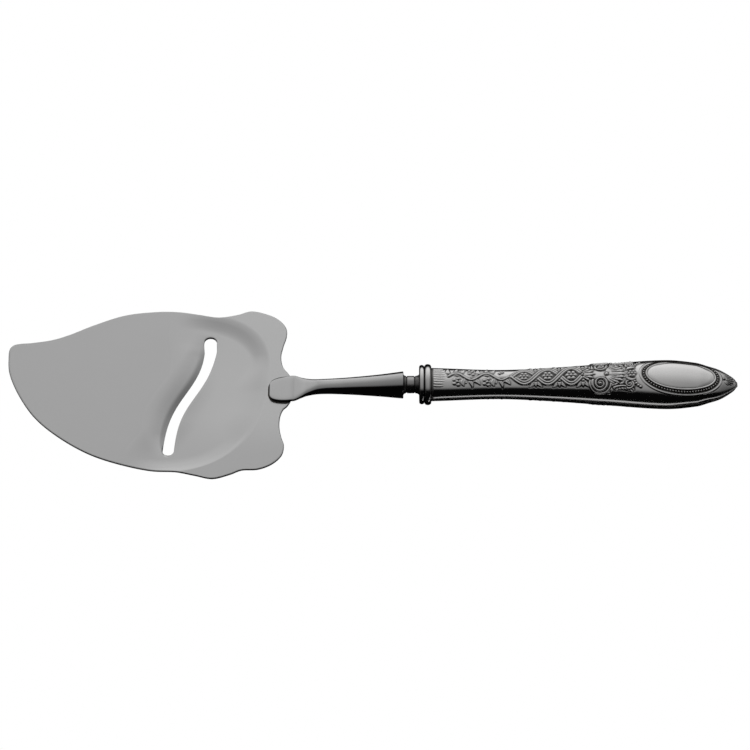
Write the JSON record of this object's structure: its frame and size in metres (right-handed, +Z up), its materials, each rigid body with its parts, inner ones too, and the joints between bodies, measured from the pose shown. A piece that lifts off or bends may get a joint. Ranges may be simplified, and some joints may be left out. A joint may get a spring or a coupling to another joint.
{
  "type": "cheese plane",
  "caption": "Hand cheese plane: a leaf-shaped pressed steel blade with a slanted slot and cutting lip, on a forged stem set in a hollow ornamented silver handle.",
  "frame": {"origin": "on the flat sole of the blade, at the blade's root, directly under the handle's axis", "axes": "+X along the tool from the blade towards the handle's tail, +Z up out of the blade's upper face, +Y across the blade"},
  "size_m": [0.2313, 0.0668, 0.0119],
  "materials": {
    "blade_steel": "satin",
    "stem_steel": "polished",
    "silver": "polished",
    "braze": "satin",
    "cement": "matte"
  },
  "bodies": {
    "root": {"blade": "blade_steel", "braze_pad": "braze", "stem": "stem_steel", "neck_collar": "silver", "mouth_cap": "silver", "ferrule": "silver", "upper_shell": "silver", "lower_shell": "silver", "seam_solder": "braze", "cement_core": "cement"}
  },
  "joints": []
}
